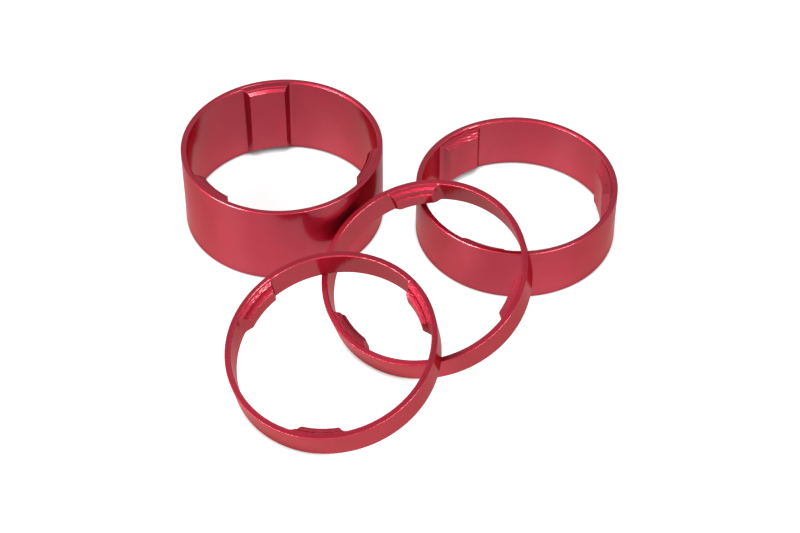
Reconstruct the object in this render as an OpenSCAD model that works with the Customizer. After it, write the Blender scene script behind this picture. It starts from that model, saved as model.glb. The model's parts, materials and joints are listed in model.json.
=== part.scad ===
// Set of four spacer rings for a round shaft: one tall, one medium and two low.
// Each ring is one turned piece: a thin plain wall with three inner pads that centre it
// on the shaft. The tall and medium rings stand flat, one low ring leans on the medium
// ring and the other low ring leans on the first.

/* [Ring section] */
// Outside diameter of every ring
ring_od = 34; // [33.6:0.1:36]
// Inside diameter of the plain wall, between the pads
wall_id = 32; // [31.2:0.1:32.4]
// Diameter across the three pad faces, a sliding fit on a 28.6 mm shaft
pad_bore = 29; // [28.7:0.1:29.6]
// Chamfer on the two outer edges
outer_edge = 0.15; // [0.05:0.05:0.25]
// Chamfer on the two inner edges of the wall
inner_edge = 0.25; // [0.1:0.05:0.3]

/* [Heights] */
// Height of the tall ring
tall_h = 15; // [12:1:20]
// Height of the medium ring
medium_h = 10; // [8:1:12]
// Height of each low ring
low_h = 5; // [5:0.5:7]

/* [Pads] */
// Number of pads round the bore
pad_count = 3; // [3:1:4]
// Width of a pad at its face
pad_face_w = 6; // [4:0.5:7]
// Width of a pad where it meets the wall
pad_root_w = 8.2; // [7.5:0.1:9]
// Fillet between a pad's flank and the wall
pad_fillet = 0.6; // [0.3:0.1:0.8]
// Depth below the upper rim where the turned step over a pad ends: tall, medium, low rings
step_depth = [0.35, 0.9, 0.6]; // [0.35:0.05:0.9]
// Depth below the upper rim where a pad's face starts: tall, medium, low rings
lead_depth = [1, 1.5, 1.25]; // [1:0.05:1.6]
// Depth above the lower rim where the turned step under a pad ends
under_step = 0.9; // [0.35:0.05:0.9]
// Depth above the lower rim where a pad's face ends
under_lead = 1.5; // [1:0.05:1.6]
// Diameter at which every step ends and its lead-in chamfer starts
step_d = 30.6; // [30:0.1:31]

/* [Layout] */
// Tall ring: centre, X then Y
tall_at = [-19.9, 14.1]; // [-40:0.05:40]
// Medium ring: centre
medium_at = [19.7, 9.85]; // [-40:0.05:40]
// Low ring that rests on the medium ring: centre of its lower face
resting_at = [4.85, -9.95]; // [-40:0.05:40]
// Its lean from flat, in degrees
resting_lean = 20.08; // [0:0.01:40]
// Direction of its low side, anticlockwise from +X
resting_dir = 233.1; // [0:0.1:360]
// Low ring in front, which rests on the other low ring: centre of its lower face
front_at = [-10.2, -25]; // [-40:0.05:40]
// Its lean from flat, in degrees
front_lean = 15.21; // [0:0.01:40]
// Direction of its low side
front_dir = 235.9; // [0:0.1:360]
// Direction of one pad on each ring: tall, medium, resting, front
pad_turn = [102.5, 7, 94.8, 22.8]; // [0:0.1:360]

/* [Hidden] */
$fn = 180;
ring_r = ring_od / 2;
wall_r = wall_id / 2;
pad_r = pad_bore / 2;
step_r = step_d / 2;
over = 0.05;
// The fillet circle is cut this much larger, so that it crosses the flank and the wall
// at a slight angle instead of only touching them.
fillet_bite = 0.004;
anodised_red = [0.62, 0.12, 0.18];

// Cuts at one end of a ring, from the outer edge to the pad face, as [radius, depth].
function end_cuts(step, lead) = [
    [ring_r, outer_edge],
    [ring_r - outer_edge, 0],
    [wall_r + inner_edge, 0],
    [wall_r - over, inner_edge + over],
    [step_r, step],
    [pad_r, lead]
];
lower_cuts = end_cuts(under_step, under_lead);

// Flank of a pad: a straight line from the pad face to the wall, with a fillet circle
// that touches the flank and the wall.
face_x = sqrt(pad_r * pad_r - pad_face_w * pad_face_w / 4);
root_x = sqrt(wall_r * wall_r - pad_root_w * pad_root_w / 4);
flank_turn = atan2((pad_root_w - pad_face_w) / 2, root_x - face_x);
along = [cos(flank_turn), sin(flank_turn)];
away = [-sin(flank_turn), cos(flank_turn)];
offset_start = [face_x, pad_face_w / 2] + pad_fillet * away;
start_along = offset_start * along;
fillet_run = -start_along + sqrt(start_along * start_along - offset_start * offset_start
    + (wall_r - pad_fillet) * (wall_r - pad_fillet));
fillet_at = offset_start + fillet_run * along;
touch_flank = fillet_at - pad_fillet * away;
touch_wall = fillet_at * (wall_r / (wall_r - pad_fillet));

// The whole set is centred on the origin from the outline of its outermost rings.
front_axis_y = sin(front_lean) * sin(front_dir);
front_low_y = front_at[1] + front_axis_y * (low_h - outer_edge)
    - ring_r * sqrt(1 - front_axis_y * front_axis_y);
set_centre = [
    (tall_at[0] + medium_at[0]) / 2,
    (tall_at[1] + ring_r + front_low_y) / 2
];

// One side of a pad's outline: the flank and the fillet that runs it into the wall.
module pad_side() {
    polygon([
        [pad_r - 2, 0],
        [pad_r - 2, pad_face_w / 2 - tan(flank_turn) * (face_x - pad_r + 2)],
        touch_flank,
        touch_flank + 2 * along,
        [wall_r + 2, 0]
    ]);
    difference() {
        polygon([touch_flank, fillet_at, 1.05 * touch_wall, touch_flank + 2 * along]);
        translate(fillet_at) circle(r = pad_fillet + fillet_bite);
    }
}

// Outline of one pad, seen along the ring's axis, with its middle on +X.
module pad_outline() {
    pad_side();
    mirror([0, 1]) pad_side();
}

// A ring standing on z = 0: the turned section with a window cut between the pads.
// kind picks its upper step and lead-in: 0 tall, 1 medium, 2 low.
module ring(height, kind) {
    upper = [for (cut = end_cuts(step_depth[kind], lead_depth[kind])) [cut[0], height - cut[1]]];
    lower = [for (i = [len(lower_cuts) - 1:-1:0]) lower_cuts[i]];
    difference() {
        rotate_extrude() polygon(concat(upper, lower));
        translate([0, 0, -1]) linear_extrude(height + 2) difference() {
            circle(r = wall_r);
            for (i = [0:pad_count - 1]) rotate(i * 360 / pad_count) pad_outline();
        }
    }
}

// Puts a ring in the set, leaning towards a direction with its low edge on the ground.
module place(at, turn, lean = 0, direction = 0) {
    translate([at[0] - set_centre[0], at[1] - set_centre[1], (ring_r - outer_edge) * sin(lean)])
        rotate([0, 0, direction]) rotate([0, lean, 0]) rotate([0, 0, turn - direction])
            children();
}

module spacer_15mm() {
    color(anodised_red) place(tall_at, pad_turn[0]) ring(tall_h, 0);
}

module spacer_10mm() {
    color(anodised_red) place(medium_at, pad_turn[1]) ring(medium_h, 1);
}

module spacer_5mm_resting() {
    color(anodised_red) place(resting_at, pad_turn[2], resting_lean, resting_dir) ring(low_h, 2);
}

module spacer_5mm_front() {
    color(anodised_red) place(front_at, pad_turn[3], front_lean, front_dir) ring(low_h, 2);
}

spacer_15mm();
spacer_10mm();
spacer_5mm_resting();
spacer_5mm_front();
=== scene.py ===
# %% [markdown]
# # A set of red anodised spacer rings
#
# Four one-piece aluminium rings lie in a loose pile: a tall one and a medium one stand flat,
# a low one leans on the medium ring, and a second low one leans on the first. Each ring is a
# thin turned wall with three lugs inside, which slide over a round tube.
#
# The rings' places, heights and lug directions come from the imported CAD model, so no ring is
# placed by hand. This first step loads that model and keeps its meshes and its record.

# %% Load the frame
import json
import math

import bpy
import numpy as np
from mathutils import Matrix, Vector


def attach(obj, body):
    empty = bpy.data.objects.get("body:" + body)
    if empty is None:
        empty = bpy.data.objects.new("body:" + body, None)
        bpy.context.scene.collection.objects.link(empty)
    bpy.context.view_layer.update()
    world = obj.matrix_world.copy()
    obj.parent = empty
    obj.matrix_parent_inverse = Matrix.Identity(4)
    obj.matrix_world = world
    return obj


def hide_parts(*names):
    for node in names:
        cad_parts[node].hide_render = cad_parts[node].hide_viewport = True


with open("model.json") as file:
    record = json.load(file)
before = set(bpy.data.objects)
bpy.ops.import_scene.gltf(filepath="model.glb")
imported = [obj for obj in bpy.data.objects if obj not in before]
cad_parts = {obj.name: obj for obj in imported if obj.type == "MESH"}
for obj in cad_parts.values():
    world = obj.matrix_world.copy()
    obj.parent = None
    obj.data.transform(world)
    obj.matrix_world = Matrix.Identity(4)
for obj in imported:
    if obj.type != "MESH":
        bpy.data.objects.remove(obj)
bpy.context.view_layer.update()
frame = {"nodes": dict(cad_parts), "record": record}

MM = 0.001

# %% [markdown]
# ## Where each ring stands
#
# A ring's centre line and height are in the record: every ring has a slide mount through its
# bore. The three lugs have no mount of their own, so their direction is measured on the CAD
# mesh: the vertices on the lug faces are the only ones nearer to the axis than the wall.
# Three equal lugs repeat every 120 degrees, so the mean of the angles is taken on three times
# the angle, where all three lugs fall together.

# %% Read a ring's place from the record and the CAD mesh
WALL_R = 16.0
LUG_R = 14.5
RING_R = 17.0
LUGS = 3
# A vertex that is nearer to the axis than a lug's face plus this is on the face.
FACE_MARGIN = 0.05


def mount(name):
    """The record's mount of that name."""
    return next(m for m in frame["record"]["mounts"] if m["name"] == name)


def cad_points(node):
    """All vertices of a CAD node in the row frame, in millimetres, as rows of x, y, z."""
    mesh = frame["nodes"][node].data
    flat = np.empty(len(mesh.vertices) * 3)
    mesh.vertices.foreach_get("co", flat)
    return flat.reshape(-1, 3) / MM


def ring_place(bore, node):
    """Foot centre, the three axes of the ring's own frame, and its height, in millimetres.

    The z axis is the bore's. The x axis starts as the row's x axis made square to it, and is
    then turned to the middle of a lug: the angle of the mean of exp(3 i angle) over the
    vertices on the lug faces, divided by 3.
    """
    slide = mount(bore)
    height = slide["dims"]["length_mm"]
    up = np.array(slide["axis"], float)
    up /= np.linalg.norm(up)
    foot = np.array(slide["pos_m"]) / MM - up * height / 2
    side = np.array([1.0, 0.0, 0.0])
    side -= up * (side @ up)
    side /= np.linalg.norm(side)
    across = np.cross(up, side)
    reach = cad_points(node) - foot
    x, y = reach @ side, reach @ across
    on_lug = np.hypot(x, y) < LUG_R + FACE_MARGIN
    turn = np.angle(np.exp(1j * LUGS * np.arctan2(y, x))[on_lug].mean()) / LUGS
    lug_x = math.cos(turn) * side + math.sin(turn) * across
    return foot, np.array([lug_x, np.cross(up, lug_x), up]), height


tall_foot, _, tall_height = ring_place("tall_pad_bore", "spacer_15mm")
print("tall ring's foot, mm:", tall_foot.round(2), "height, mm:", round(tall_height, 2))

# %% [markdown]
# ## The outline of the bore
#
# Seen along the axis, the bore is a circle with three lugs standing in. A lug has a face that
# fits the tube, a small round at each end of the face, a straight flank that opens towards
# the wall, and a fillet that runs it into the wall. That is an outline of a few arcs and
# lines, worked out from the lug's widths, so it is written as a path: each stretch is an
# array of points, and a half lug is mirrored and turned three times.

# %% Arcs, headings and reaches
def arc(centre, radius, start, end, count):
    """Points on a circle from one angle to another, the short way round.

    A point is the centre plus the radius times the cosine and the sine of its angle.
    """
    sweep = (end - start + math.pi) % (2 * math.pi) - math.pi
    angle = start + sweep * np.linspace(0, 1, count)
    return centre + radius * np.stack([np.cos(angle), np.sin(angle)], axis=1)


def heading(vector):
    """The angle of a flat vector."""
    return math.atan2(vector[1], vector[0])


def reach_along(start, direction, radius):
    """How far to go from start along direction to be at that distance from the axis.

    It is the larger root of: length of (start plus way times direction) equals radius.
    """
    run = start @ direction
    return -run + math.sqrt(run * run - start @ start + radius * radius)


print("a quarter turn:", arc(np.zeros(2), 1.0, 0.0, math.pi / 2, 3).round(3).tolist())

# %% Half a lug
FACE_W = 6.0
ROOT_W = 8.2
FILLET_R = 0.85
# Points on each stretch of half a lug.
WALL_POINTS = 46
FILLET_POINTS = 9
FLANK_POINTS = 14
CORNER_POINTS = 8
FACE_POINTS = 34


def half_lug(corner_r):
    """From the middle of the gap between two lugs to the middle of the lug on +X.

    The flank is the line from the end of the face to the root on the wall. The fillet's
    centre is where a line beside the flank meets the circle one fillet radius inside the
    wall, and the corner's centre is found the same way on the lug's side of the flank.
    """
    face_end = np.array([math.sqrt(LUG_R**2 - (FACE_W / 2) ** 2), FACE_W / 2])
    root = np.array([math.sqrt(WALL_R**2 - (ROOT_W / 2) ** 2), ROOT_W / 2])
    out = (root - face_end) / np.linalg.norm(root - face_end)
    away = np.array([-out[1], out[0]])
    fillet = face_end + FILLET_R * away
    fillet = fillet + out * reach_along(fillet, out, WALL_R - FILLET_R)
    corner = face_end - corner_r * away
    corner = corner + out * reach_along(corner, out, LUG_R + corner_r)
    flank = np.array([fillet - FILLET_R * away, corner + corner_r * away])
    gap_middle = math.pi / LUGS
    origin = np.zeros(2)
    return np.concatenate(
        [
            arc(origin, WALL_R, gap_middle, heading(fillet), WALL_POINTS)[:-1],
            arc(fillet, FILLET_R, heading(fillet), heading(-away), FILLET_POINTS)[:-1],
            flank[0] + np.linspace(0, 1, FLANK_POINTS)[:-1, None] * (flank[1] - flank[0]),
            arc(corner, corner_r, heading(away), heading(-corner), CORNER_POINTS)[:-1],
            arc(origin, LUG_R, heading(corner), 0.0, FACE_POINTS),
        ]
    )


print("half a lug:", len(half_lug(corner_r=0.2)), "points")

# %% The whole outline
def bore_outline(corner_r):
    """Angle and radius of the whole bore outline, once round, with no point twice.

    The half lug is mirrored by taking its angles with a minus sign, and the whole lug is
    repeated at each third of a turn.
    """
    half = half_lug(corner_r)
    angle = np.arctan2(half[:, 1], half[:, 0])
    radius = np.hypot(half[:, 0], half[:, 1])
    lug = np.concatenate([angle, -angle[-2:0:-1]])
    lug_radius = np.concatenate([radius, radius[-2:0:-1]])
    turns = 2 * math.pi / LUGS * np.arange(LUGS)
    around = (lug[None, :] - turns[:, None]).ravel()
    return around[::-1], np.tile(lug_radius, LUGS)[::-1]


angles, radii = bore_outline(corner_r=0.2)
print("bore outline:", len(angles), "points, radius", radii.min().round(2), "to", radii.max().round(2))

# %% [markdown]
# ## The cut across each end
#
# Both ends are turned on a lathe, so an end is a profile of depth against radius: a flat
# land, then in the gaps between lugs a small edge break, and over a lug a shelf and a
# lead-in down to the lug's face. The tall ring's cut is clean. On the others the tool hit
# three lugs in each turn and chattered, which left ripples on the shelf and the lead-in.
#
# Each profile is a short list of bends joined by straight lines, because that is what a
# turning tool makes. Chatter is a sum of waves with seeded random lengths and directions.
# The profile and the chatter together are a height over angle and radius, so every point of
# an end is worked out at once.

# %% Depth of the end cuts
# Each pair is a radius and the depth of the cut there, in millimetres. The gap cuts are the
# edge breaks between lugs, and the others run over the lugs.
WIDE_GAP_CUT = [(16.26, 0), (16.0, 0.2), (14.46, 1.74)]
NARROW_GAP_CUT = [(16.14, 0), (16.0, 0.1), (14.46, 1.64)]
TALL_CUT = [(16.26, 0), (16.2, 0.07), (15.38, 0.22), (15.2, 0.39), (14.95, 0.42), (14.46, 0.98)]
MEDIUM_CUT = [(16.22, 0), (16.0, 0.22), (15.94, 0.5), (15.26, 0.84), (15.1, 0.98), (14.46, 1.48)]
RESTING_CUT = [(16.22, 0), (16.14, 0.08), (15.6, 0.12), (15.12, 0.28), (14.9, 0.98), (14.46, 1.08)]
FRONT_CUT = [
    (16.26, 0),
    (16.14, 0.12),
    (15.9, 0.15),
    (15.45, 0.5),
    (15.28, 0.96),
    (14.9, 1.02),
    (14.46, 1.26),
]
LOWER_CUT = [(16.26, 0), (16.0, 0.26), (15.3, 0.9), (14.46, 1.52)]


def depth_at(cut, radius):
    """Depth of a cut by straight lines between its points."""
    r, depth = np.array(cut[::-1]).T
    return np.interp(radius, r, depth)


def smooth(value, low, high):
    """0 below low and 1 above high, by the cubic that starts and ends level."""
    t = np.clip((value - low) / (high - low), 0, 1)
    return t * t * (3 - 2 * t)


print("tall ring's lead-in ends", round(float(depth_at(TALL_CUT, LUG_R)), 2), "mm below the rim")

# %% Chatter
class Chatter:
    """A rippled surface: waves of random length and direction, added up.

    One wave is the sine of a number of turns round the ring plus a number of turns across
    the cut. Short waves are lower than long ones.
    """

    def __init__(self, seed, height, along, across, waves=48):
        rng = np.random.default_rng(seed)
        long_way = rng.uniform(*along, waves)
        short_way = rng.uniform(*across, waves)
        self.around = np.round(rng.choice([-1, 1], waves) * 2 * math.pi * WALL_R / long_way)
        self.across = 2 * math.pi / short_way
        self.phase = rng.uniform(0, 2 * math.pi, waves)
        self.rise = height * short_way / short_way.mean() * math.sqrt(2 / waves)

    def __call__(self, angle, radius):
        total = np.zeros(np.broadcast(angle, radius).shape)
        for around, across, phase, rise in zip(self.around, self.across, self.phase, self.rise):
            total += rise * np.sin(around * angle + across * radius + phase)
        return total


ripples = Chatter(3, 0.01, along=(0.8, 4.0), across=(0.2, 0.5))(angles, 15.5)
print("ripples on a cut, mm:", ripples.min().round(3), "to", ripples.max().round(3))

# %% [markdown]
# ## The ring as one closed skin
#
# A ring is a section carried once round the bore outline. The section goes up the outer
# wall, over the soft edge and the land, down the cut to the bore, down the bore and back
# along the lower end. Rows whose radius is less than the bore's at that angle all stop at
# the bore, so the same rows make the plain wall and the lugs. The points that fall together
# there are merged afterwards, which leaves a closed skin. Cutting the lugs out of a cylinder
# would give the same outline, but with long thin faces that shade badly.
#
# The first part is the surface of one end. Its rows come in pairs beside each bend of the
# cut, so that a bend stays as sharp as the tool left it.

# %% The surface of one end
# Width of the rounded crest where an end meets the bore, and its number of steps.
CREST = 0.08
ROUND_STEPS = 4
# Rows on the land, and over the cut at the upper and the lower end.
LAND_ROWS = 4
UPPER_ROWS = 42
LOWER_ROWS = 16
# How far a row lies from the bend that it stands beside.
BESIDE_BEND = 0.02
# How far in from the wall the bore is where a lug's own cut begins, and where it is whole.
LUG_CUT_BEGINS = 0.02
LUG_CUT_WHOLE = 0.2
# Width over which chatter fades in from the land.
CHATTER_FADE = 0.15


def end_rows(cut, gap_cut, edge_break, rows):
    """Radii of an end's rows from the edge break inwards, closer together on the cut."""
    land = np.linspace(RING_R - edge_break, cut[0][0] + 2 * BESIDE_BEND, LAND_ROWS)
    corners = np.array([r for r, _ in cut[:-1] + gap_cut[:1]])
    beside = np.concatenate([corners + BESIDE_BEND, corners - BESIDE_BEND])
    fill = np.linspace(cut[0][0], LUG_R, rows)
    inner = np.unique(np.concatenate([beside, fill]).round(4))[::-1]
    return np.concatenate([land, inner[inner < land[-1]]])


def end_surface(cut, gap_cut, chatter, angle, bore, rows):
    """Radius and depth of one end, for every row and angle, with a rounded crest at the bore.

    Radius is the row's, or the crest's start where the row's is less. Depth is the cut's
    profile over a lug and the edge break's in the gaps, plus chatter, which fades in just
    inside the land. The crest is a quadratic curve from the cut to the bore that bends over
    the corner they would meet at.
    """
    on_lug = smooth(WALL_R - bore, LUG_CUT_BEGINS, LUG_CUT_WHOLE)

    def depth(radius):
        plain = depth_at(cut, radius) * on_lug + depth_at(gap_cut, radius) * (1 - on_lug)
        fade = smooth(cut[0][0] - radius, 0, CHATTER_FADE)
        return plain + (chatter(angle, radius) * fade if chatter else 0)

    start = bore + CREST
    radius = np.maximum(rows[:, None], start)
    surface = depth(radius)
    t = np.linspace(0, 1, ROUND_STEPS + 1)[1:, None]
    corner, begin = depth(bore), depth(start)
    crest_r = (1 - t) ** 2 * start + 2 * t * (1 - t) * bore + t**2 * bore
    crest_z = (1 - t) ** 2 * begin + 2 * t * (1 - t) * corner + t**2 * (corner + CREST)
    return np.concatenate([radius, crest_r]), np.concatenate([surface, crest_z])


tall_rows = end_rows(TALL_CUT, WIDE_GAP_CUT, edge_break=0.15, rows=UPPER_ROWS)
print("tall ring's upper end:", len(tall_rows), "rows before the crest")

# %% [markdown]
# ## The outer edge
#
# The corner between an end and the outer wall is taken off with a narrow chamfer, and the
# etch before anodising softens its two sides. A flat chamfer would shine as one hard band,
# and a plain round as a wide faint one. This edge stays near 45 degrees in the middle and
# bends over quickly at its sides, which gives the thin bright line of a real one.

# %% A soft chamfer
def outer_edge(edge_break, count):
    """Radius and depth from the land to the outer wall: a narrow chamfer with soft corners.

    The slope turns from level to upright as a cubic of the way along, so it stays near 45
    degrees in the middle. The points are the sum of small steps along that slope, scaled to
    the width of the edge break.
    """
    way = np.linspace(-1, 1, count)
    turn = math.pi / 4 * (1 + ((way[1:] + way[:-1]) / 2) ** 3)
    steps = np.stack([np.cos(turn), np.sin(turn)])
    path = np.concatenate([np.zeros((2, 1)), steps.cumsum(axis=1)], axis=1)
    path *= edge_break / path[0, -1]
    return RING_R - edge_break + path[0], path[1]


print("depths over the edge, mm:", outer_edge(0.15, 5)[1].round(3))

# %% [markdown]
# ## The whole section
#
# The stretches are now put in order as rows of radius and height. Each row also gets a zone,
# a number that says whether it is on the outer wall, the land, the cut or the bore, so that
# the finish can give each of them its own tool marks. Two rows just past each edge keep the
# smooth shading level right up to the edge.

# %% The grid of a ring
ZONE_WALL, ZONE_LAND, ZONE_CUT, ZONE_BORE = 0.0, 1.0, 2.0, 3.0
EDGE_POINTS = 9
# How far past an edge the two rows beside it lie.
PAST_EDGE = np.array([0.03, 0.3])[:, None]


def end_zones(rows, cut):
    """The zone of each row of an end: land outside the cut, and cut from there to the bore."""
    zones = np.where(rows > cut[0][0], ZONE_LAND, ZONE_CUT)
    return np.concatenate([zones, np.full(ROUND_STEPS, ZONE_CUT)])


def section_grid(height, cut, gap_cut, chatter, corner_r, edge_break):
    """The whole skin as a grid of x, y, z, with a zone for every row.

    x and y are the radius times the cosine and the sine of the angle. z is the depth on the
    lower half of the section, and the height minus the depth on the upper half.
    """
    angle, bore = bore_outline(corner_r)
    once_round = (1, len(angle))
    upper_rows = end_rows(cut, gap_cut, edge_break, UPPER_ROWS)
    lower_rows = end_rows(LOWER_CUT, gap_cut, edge_break, LOWER_ROWS)
    upper_r, upper_d = end_surface(cut, gap_cut, chatter, angle, bore, upper_rows)
    lower_r, lower_d = end_surface(LOWER_CUT, gap_cut, None, angle, bore, lower_rows)
    edge = outer_edge(edge_break, EDGE_POINTS)
    edge_r, edge_d = (np.tile(v[:, None], once_round) for v in edge)
    wall_d = np.tile(edge_break + PAST_EDGE, once_round)
    wall_r = np.full_like(wall_d, RING_R)
    upper_in = upper_d[-1] + PAST_EDGE
    lower_in = lower_d[-1] + PAST_EDGE
    bore_r = np.tile(bore, (2, 1))
    upper_zone = end_zones(upper_rows, cut)
    lower_zone = end_zones(lower_rows, LOWER_CUT)
    parts = [
        (wall_r, wall_d[::-1], False, ZONE_WALL),
        (edge_r[::-1], edge_d[::-1], False, ZONE_LAND),
        (upper_r[1:], upper_d[1:], False, upper_zone[1:]),
        (bore_r, upper_in, False, ZONE_BORE),
        (bore_r, lower_in[::-1], True, ZONE_BORE),
        (lower_r[::-1], lower_d[::-1], True, lower_zone[::-1]),
        (edge_r[1:], edge_d[1:], True, ZONE_LAND),
        (wall_r, wall_d, True, ZONE_WALL),
    ]
    radius = np.concatenate([r for r, _, _, _ in parts])
    z = np.concatenate([d if low else height - d for _, d, low, _ in parts])
    zone = np.concatenate([np.full(len(r), kind) for r, _, _, kind in parts])
    x = radius * np.cos(angle)
    y = radius * np.sin(angle)
    return np.stack([x, y, z], axis=-1), zone


plain_grid, _ = section_grid(tall_height, TALL_CUT, WIDE_GAP_CUT, None, corner_r=0.2, edge_break=0.15)
print("tall ring's grid:", plain_grid.shape[0], "rows of", plain_grid.shape[1], "points")

# %% [markdown]
# ## From a grid to a Blender mesh
#
# Both directions of the grid close on themselves, like a tube bent into a ring, so the quads
# wrap round at both ends. Points in the same place are merged with numpy, and faces that
# lost a corner become triangles or go. Faces are shaded smoothly, except across an edge that
# bends by more than 32 degrees.
#
# Each vertex keeps three attributes for the finish: where it is in the ring's own frame,
# because tool marks follow the ring's axis and two of the rings lean, its zone, and how torn
# that ring's cuts are.

# %% From a grid to faces
def merged(points):
    """The different points of a grid, and for each grid point its number among them.

    Two points are the same when they agree to five decimals of a millimetre.
    """
    flat = points.reshape(-1, 3)
    _, first, number = np.unique(flat.round(5), axis=0, return_index=True, return_inverse=True)
    return first, number.reshape(points.shape[:2])


def wrapped_quads(number):
    """Corner numbers of the quads between neighbouring rows and columns, closed both ways."""
    right = np.roll(number, -1, axis=1)
    quads = [number, right, np.roll(right, -1, axis=0), np.roll(number, -1, axis=0)]
    return np.stack(quads, axis=-1).reshape(-1, 4)


def clean_faces(quads):
    """Quads whose corners differ, and triangles from quads with one corner twice."""
    same = quads == np.roll(quads, -1, axis=1)
    whole = quads[same.sum(axis=1) == 0]
    short = same.sum(axis=1) == 1
    triangles = quads[short][~same[short]].reshape(-1, 3)
    return whole, triangles[triangles[:, 0] != triangles[:, 2]]


corner_numbers = merged(plain_grid)[1]
print("faces of four corners:", len(clean_faces(wrapped_quads(corner_numbers))[0]))

# %% Build one ring
SHARP = math.radians(32)


def float_attribute(mesh, name, values):
    """A number for each vertex, which the finish reads by name."""
    mesh.attributes.new(name, "FLOAT", "POINT").data.foreach_set("value", values)


def build_ring(name, bore, node, body, tear, **shape):
    """A ring in place of its CAD node, riding on that node's body.

    tear says how torn the cuts on its lugs are, from 0 to 1.
    """
    foot, axes, height = ring_place(bore, node)
    grid, zone = section_grid(height, **shape)
    first, number = merged(grid)
    local = grid.reshape(-1, 3)[first]
    whole, triangles = clean_faces(wrapped_quads(number))
    mesh = bpy.data.meshes.new(name)
    mesh.from_pydata((foot + local @ axes) * MM, [], [*whole.tolist(), *triangles.tolist()])
    mesh.attributes.new("ring_mm", "FLOAT_VECTOR", "POINT").data.foreach_set("vector", local.ravel())
    float_attribute(mesh, "zone", np.repeat(zone, grid.shape[1])[first])
    float_attribute(mesh, "tear", np.full(len(first), tear))
    mesh.polygons.foreach_set("use_smooth", np.ones(len(mesh.polygons), bool))
    mesh.set_sharp_from_angle(angle=SHARP)
    mesh.validate()
    ring = bpy.data.objects.new(name, mesh)
    bpy.context.scene.collection.objects.link(ring)
    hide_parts(node)
    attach(ring, body)
    print(name, len(mesh.vertices), "vertices,", len(whole) * 2 + len(triangles), "triangles")
    return ring


# %% [markdown]
# ## The four rings
#
# All four are the same section with other values. The tall ring is clean, with crisp lugs.
# The medium one has a stepped shelf on its lugs and long low ripples. The two low ones have
# narrower edge breaks and rounder corners on their lugs. The resting one's cut is smoother,
# and the front one's is torn all over, so its tear is 1.

# %% The four rings
tall = build_ring(
    "tall_spacer",
    "tall_pad_bore",
    "spacer_15mm",
    "tall",
    tear=0.1,
    cut=TALL_CUT,
    gap_cut=WIDE_GAP_CUT,
    chatter=None,
    corner_r=0.2,
    edge_break=0.15,
)
medium = build_ring(
    "medium_spacer",
    "medium_pad_bore",
    "spacer_10mm",
    "medium",
    tear=0.7,
    cut=MEDIUM_CUT,
    gap_cut=WIDE_GAP_CUT,
    chatter=Chatter(3, 0.01, along=(0.8, 4.0), across=(0.2, 0.5)),
    corner_r=0.2,
    edge_break=0.15,
)
resting = build_ring(
    "resting_spacer",
    "resting_pad_bore",
    "spacer_5mm_resting",
    "resting",
    tear=0.4,
    cut=RESTING_CUT,
    gap_cut=NARROW_GAP_CUT,
    chatter=Chatter(5, 0.005, along=(1.0, 5.0), across=(0.25, 0.7)),
    corner_r=0.9,
    edge_break=0.1,
)
front = build_ring(
    "front_spacer",
    "front_pad_bore",
    "spacer_5mm_front",
    "front",
    tear=1.0,
    cut=FRONT_CUT,
    gap_cut=NARROW_GAP_CUT,
    chatter=Chatter(8, 0.010, along=(0.5, 3.0), across=(0.2, 0.6)),
    corner_r=0.35,
    edge_break=0.1,
)
rings = [tall, medium, resting, front]

# %% [markdown]
# ## Writing shader maths as expressions
#
# A finish is easier to read as arithmetic than as a list of nodes and links. The class below
# wraps one output of a node. Adding or multiplying two of them adds a Math node, and `make`
# adds any other node. The few nodes that come up again and again get a short name too.

# %% A wrapper for node outputs
class Wire:
    """One output of a shader node, which Python's operators can work on."""

    def __init__(self, tree, socket):
        self.tree = tree
        self.socket = socket

    def math(self, operation, *others):
        """A Math node on this wire and the others, in that order."""
        values = dict(enumerate([self, *others]))
        return make(self.tree, "ShaderNodeMath", {"operation": operation}, values)

    def __add__(self, other):
        return self.math("ADD", other)

    __radd__ = __add__

    def __mul__(self, other):
        return self.math("MULTIPLY", other)

    __rmul__ = __mul__

    def __sub__(self, other):
        return self.math("SUBTRACT", other)

    def __rsub__(self, other):
        return make(self.tree, "ShaderNodeMath", {"operation": "SUBTRACT"}, {0: other, 1: self})

    def output(self, name):
        """Another output of the same node."""
        return Wire(self.tree, self.socket.node.outputs[name])


def make(tree, kind, settings=None, inputs=None, output=0):
    """A node of that type as a wire from one of its outputs.

    settings are the node's own properties, and inputs are values or wires for its sockets,
    by name or number. output is the name or number of the output to take.
    """
    node = tree.nodes.new(kind)
    for key, value in (settings or {}).items():
        setattr(node, key, value)
    for key, value in (inputs or {}).items():
        if isinstance(value, Wire):
            tree.links.new(value.socket, node.inputs[key])
        else:
            node.inputs[key].default_value = value
    return Wire(tree, node.outputs[output])


# %% Steps, blends and noise
def step(wire, low, high):
    """0 below low and 1 above high, with a smooth rise between."""
    settings = {"interpolation_type": "SMOOTHSTEP"}
    inputs = {"Value": wire, "From Min": low, "From Max": high}
    return make(wire.tree, "ShaderNodeMapRange", settings, inputs)


def blend_colour(factor, first, second):
    """A colour that goes from first to second as factor goes from 0 to 1."""
    settings = {"data_type": "RGBA"}
    return make(factor.tree, "ShaderNodeMix", settings, {0: factor, 6: first, 7: second}, 2)


def noise(tree, vector, scale, detail=3.0, roughness=0.5):
    """Soft random blotches from 0 to 1, about scale of them in each unit of the vector."""
    inputs = {"Vector": vector, "Scale": scale, "Detail": detail, "Roughness": roughness}
    return make(tree, "ShaderNodeTexNoise", None, inputs)


def spread(tree, x, y, z):
    """A vector of three wires, which stretches noise along the ones that change slowly."""
    return make(tree, "ShaderNodeCombineXYZ", None, {0: x, 1: y, 2: z})


# %% [markdown]
# ## Where a point is on its ring
#
# Tool marks run round a ring's axis or along it, so the finish needs each point's distance
# from the axis, its angle and its height. They are worked out from the ring's own
# millimetres, which every vertex carries, because plain object coordinates don't lean with
# the two rings that lean. The zone tells which surface the point is on.

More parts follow.
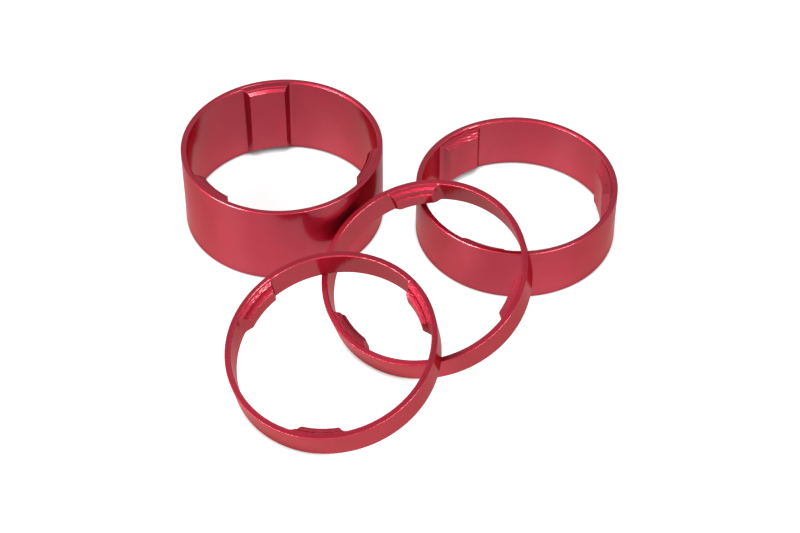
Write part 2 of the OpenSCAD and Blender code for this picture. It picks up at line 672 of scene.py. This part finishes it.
# %% Position and zone
def ring_position(tree):
    """Place in the ring's own frame, distance from the axis, angle and height.

    Distance is the root of x squared plus y squared, and the angle is that of (x, y), in
    millimetres and radians.
    """
    place = make(tree, "ShaderNodeAttribute", {"attribute_name": "ring_mm"}, None, "Vector")
    x = make(tree, "ShaderNodeSeparateXYZ", None, {0: place})
    y = x.output(1)
    z = x.output(2)
    radius = (x * x + y * y).math("SQRT")
    angle = y.math("ARCTAN2", x)
    return place, radius, angle, z


def number_on(tree, name):
    """A number that the mesh carries for each vertex."""
    return make(tree, "ShaderNodeAttribute", {"attribute_name": name}, None, "Fac")


def from_zone(zone, kind):
    """0 before that zone and 1 from it onwards, with the change half way between rows."""
    return step(zone, kind - 0.6, kind - 0.4)


# %% [markdown]
# ## Tool marks
#
# The marks are very fine, so they are bump and not geometry. Turning leaves rings round the
# axis on the outer wall and the lands, the bore has lines along it from drawing the tube,
# and a torn cut is rough in every direction. Each is one noise whose vector changes fast
# across the marks and slowly along them.

# %% Height of the marks
TURNED_PER_MM = 14
TURNED_PER_RADIAN = 1.5
DRAWN_PER_RADIAN = 90
DRAWN_PER_MM = 0.25
TORN_PER_RADIAN = 70
TORN_PER_MM = 8
TORN_HEIGHT = 5
# Depth in metres of marks of height 1.
MARK_DEPTH = 0.00002


def tool_marks(tree, radius, angle, z, cut, bore, tear):
    """Height of the marks: turned marks outside, drawn ones in the bore, torn ones on cuts."""
    turned_place = spread(tree, radius * TURNED_PER_MM, z * TURNED_PER_MM, angle * TURNED_PER_RADIAN)
    turned = noise(tree, turned_place, 1.0, 2.0)
    drawn_place = spread(tree, angle * DRAWN_PER_RADIAN, z * DRAWN_PER_MM, radius)
    drawn = noise(tree, drawn_place, 1.0, 2.0)
    torn_place = spread(tree, angle * TORN_PER_RADIAN, z * TORN_PER_MM, radius * TORN_PER_MM)
    torn = noise(tree, torn_place, 1.0, 3.0)
    return turned * (1 - bore) * (1 - cut) + drawn * bore + torn * cut * tear * TORN_HEIGHT


# %% [markdown]
# ## Red anodised aluminium
#
# The rings are turned, etched to a satin, anodised and dyed. The dye sits in a clear oxide
# skin over bright metal, so the metal gives a deep red reflection and the skin gives a weak
# white one on top: a metallic base with a thin coat. Seen at a low angle, plain metal goes
# white, but the light that comes back through the dye stays red, so the Specular Tint is red
# too. The dye and the etch take a little unevenly, which shows as soft clouds in the colour
# and, with a finer grain, in the roughness.

# %% The finish
DEEP_RED = (0.32, 0.0125, 0.030, 1)
BRIGHT_RED = (0.355, 0.014, 0.034, 1)
LOW_ANGLE_RED = (0.65, 0.2, 0.22, 1)
CLOUDS_PER_MM = 0.15
GRAIN_PER_MM = 9.0
GRAIN_HEIGHT = 0.4
SATIN = 0.45
UNEVEN = 0.06
TORN_ROUGHER = 0.14
CUT_SMOOTHER = 0.03
BORE_ROUGHER = 0.04


def anodised_red():
    """The finish of all four rings."""
    material = bpy.data.materials.new("anodised_red")
    material.use_nodes = True
    tree = material.node_tree
    tree.nodes.clear()
    place, radius, angle, z = ring_position(tree)
    zone = number_on(tree, "zone")
    tear = number_on(tree, "tear")
    bore = from_zone(zone, ZONE_BORE)
    cut = from_zone(zone, ZONE_CUT) - bore

    clouds = noise(tree, place, CLOUDS_PER_MM)
    grain = noise(tree, place, GRAIN_PER_MM, 2.0)
    colour = blend_colour(step(clouds, 0.3, 0.7), DEEP_RED, BRIGHT_RED)
    roughness = SATIN + (clouds - 0.5) * UNEVEN + (grain - 0.5) * UNEVEN
    roughness = roughness + cut * (tear * TORN_ROUGHER - CUT_SMOOTHER) + bore * BORE_ROUGHER
    marks = tool_marks(tree, radius, angle, z, cut, bore, tear) + grain * GRAIN_HEIGHT
    bump_inputs = {"Strength": 0.25, "Distance": MARK_DEPTH, "Height": marks}
    bump = make(tree, "ShaderNodeBump", None, bump_inputs)
    shader = make(
        tree,
        "ShaderNodeBsdfPrincipled",
        None,
        {
            "Base Color": colour,
            "Metallic": 1.0,
            "Specular Tint": LOW_ANGLE_RED,
            "Roughness": roughness,
            "Normal": bump,
            "Coat Weight": 0.2,
            "Coat Roughness": 0.13,
            "Coat IOR": 2.2,
        },
    )
    out = tree.nodes.new("ShaderNodeOutputMaterial")
    tree.links.new(shader.socket, out.inputs["Surface"])
    return material


finish = anodised_red()
for ring in rings:
    ring.data.materials.append(finish)
print("finish:", len(finish.node_tree.nodes), "nodes")

# %% [markdown]
# ## Floor
#
# The rings lie on white paper that is lit so evenly that only a thin grey line of shadow is
# left where a ring touches it. Paper lit by lamps alone goes grey among the rings, so this
# floor gives off most of its own light, and ambient occlusion says how much. Within 1.5 mm
# of a ring the glow goes down to nothing, which makes the thin shadow. Within 9 mm it goes
# up a little, to make good what the rings keep off the paper. A little plain paper and a
# weak sheen still take the lamps' light and the red of the rings.

# %% The floor
FLOOR_HALF = 2.0
PAPER = (0.14, 0.14, 0.14, 1)
SHEEN = (0.05, 0.05, 0.05, 1)
SHEEN_ROUGHNESS = 0.4
CONTACT_REACH = 0.0015
CONTACT_DARK = 0.1
CONTACT_CLEAR = 0.95
NEARBY_REACH = 0.009
GLOW_ENCLOSED = 1.62
GLOW_OPEN = 0.89


def openness(tree, reach):
    """How much of the space within that reach is open, from 0 to 1."""
    return make(tree, "ShaderNodeAmbientOcclusion", {"samples": 8}, {"Distance": reach}, "AO")


def floor_white():
    """Paper that glows, less in the last bit under a ring and more close to one."""
    material = bpy.data.materials.new("floor_white")
    material.use_nodes = True
    tree = material.node_tree
    tree.nodes.clear()
    paper = make(tree, "ShaderNodeBsdfDiffuse", None, {"Color": PAPER})
    contact = step(openness(tree, CONTACT_REACH), CONTACT_DARK, CONTACT_CLEAR)
    nearby = openness(tree, NEARBY_REACH)
    strength = contact * (GLOW_ENCLOSED - nearby * (GLOW_ENCLOSED - GLOW_OPEN))
    glow = make(tree, "ShaderNodeEmission", None, {"Strength": strength})
    sheen = make(tree, "ShaderNodeBsdfGlossy", None, {"Color": SHEEN, "Roughness": SHEEN_ROUGHNESS})
    matt = make(tree, "ShaderNodeAddShader", None, {0: paper, 1: glow})
    shader = make(tree, "ShaderNodeAddShader", None, {0: matt, 1: sheen})
    out = tree.nodes.new("ShaderNodeOutputMaterial")
    tree.links.new(shader.socket, out.inputs["Surface"])
    return material


def pale_floor():
    """A flat square under the rings, which is not part of the object."""
    x = np.array([-1, 1, 1, -1]) * FLOOR_HALF
    y = np.array([-1, -1, 1, 1]) * FLOOR_HALF
    mesh = bpy.data.meshes.new("floor")
    mesh.from_pydata(np.stack([x, y, np.zeros(4)], axis=1), [], [(0, 1, 2, 3)])
    mesh.materials.append(floor_white())
    floor = bpy.data.objects.new("floor", mesh)
    bpy.context.scene.collection.objects.link(floor)


pale_floor()
print("floor:", 2 * FLOOR_HALF, "m wide")

# %% [markdown]
# ## Room
#
# Metal shows what is around it more than its own colour, so the room matters as much as the
# finish. Bright low surroundings light the walls, and a darker ceiling is what the level
# lands reflect, so they are a deeper red than the walls. A world shader that only looks at
# how steeply a direction points up is enough for that.

# %% The room's light
ROOM_LOW = (0.92, 0.92, 0.94, 1)
ROOM_HIGH = (0.42, 0.42, 0.44, 1)
# Upward part of a direction where the ceiling starts, and from where it is all ceiling.
CEILING_STARTS = 0.72
CEILING_FULL = 0.98


def room():
    """Even light from all round, paler near the floor than overhead."""
    world = bpy.data.worlds.new("room")
    world.use_nodes = True
    tree = world.node_tree
    tree.nodes.clear()
    direction = make(tree, "ShaderNodeTexCoord", None, None, "Generated")
    upward = make(tree, "ShaderNodeSeparateXYZ", None, {0: direction}, 2)
    colour = blend_colour(step(upward, CEILING_STARTS, CEILING_FULL), ROOM_LOW, ROOM_HIGH)
    background = make(tree, "ShaderNodeBackground", None, {"Color": colour, "Strength": 1.0})
    out = tree.nodes.new("ShaderNodeOutputWorld")
    tree.links.new(background.socket, out.inputs["Surface"])
    bpy.context.scene.world = world


room()
print("room:", ROOM_LOW[:3], "low and", ROOM_HIGH[:3], "high")

# %% [markdown]
# ## Lights
#
# Two soft boxes stand in front, one on the left and one on the right, and shine down at the
# rings. They light the floor evenly and draw the thin bright lines along the edge breaks. A
# third, much weaker one stands low in front and lifts the front of the walls.

# %% Soft boxes
def soft_box(name, bearing, lift, distance, width, tall, power):
    """A soft box that faces the rings, at that bearing and lift and so far away.

    Bearing is in degrees from the front, towards the right. Lift is the angle above the
    floor, in degrees.
    """
    turn, rise = math.radians(bearing), math.radians(lift)
    away = Vector((math.sin(turn) * math.cos(rise), -math.cos(turn) * math.cos(rise), math.sin(rise)))
    light = bpy.data.lights.new(name, "AREA")
    light.shape = "RECTANGLE"
    light.size = width
    light.size_y = tall
    light.energy = power
    box = bpy.data.objects.new(name, light)
    box.location = away * distance
    box.rotation_euler = away.to_track_quat("Z", "Y").to_euler()
    bpy.context.scene.collection.objects.link(box)
    print(name, "at", [round(v, 2) for v in box.location], "m,", power, "W")


soft_box("left_box", bearing=-63, lift=37, distance=0.9, width=0.45, tall=0.3, power=14)
soft_box("right_box", bearing=42, lift=34, distance=0.9, width=0.6, tall=0.25, power=7)
soft_box("front_box", bearing=-6, lift=16, distance=1.0, width=0.5, tall=0.2, power=0.5)

# %% [markdown]
# ## Camera
#
# A long lens looks down at the pile at 45 degrees from the front, from about a third of a
# metre away. At that distance the near rings are only a little larger than the far ones. The
# Standard view transform keeps the red as strong as it is and the floor white.

# %% Camera
CAMERA_LIFT = math.radians(45.11)
CAMERA_AWAY = 0.361
LENS = 96.36
SENSOR = 36.0
# The point on the floor that the camera looks at.
AIM = Vector((0.0001, 0.00577, 0.0))

lens = bpy.data.cameras.new("camera")
lens.sensor_width = SENSOR
lens.lens = LENS
lens.clip_start = 0.01
lens.clip_end = 20
camera = bpy.data.objects.new("camera", lens)
back = Vector((0, -math.cos(CAMERA_LIFT), math.sin(CAMERA_LIFT)))
camera.location = AIM + back * CAMERA_AWAY
camera.rotation_mode = "QUATERNION"
camera.rotation_quaternion = (-back).to_track_quat("-Z", "Y")
bpy.context.scene.collection.objects.link(camera)
bpy.context.scene.camera = camera
bpy.context.scene.view_settings.view_transform = "Standard"
bpy.context.view_layer.update()
print("camera at", [round(v, 3) for v in camera.location], "m")
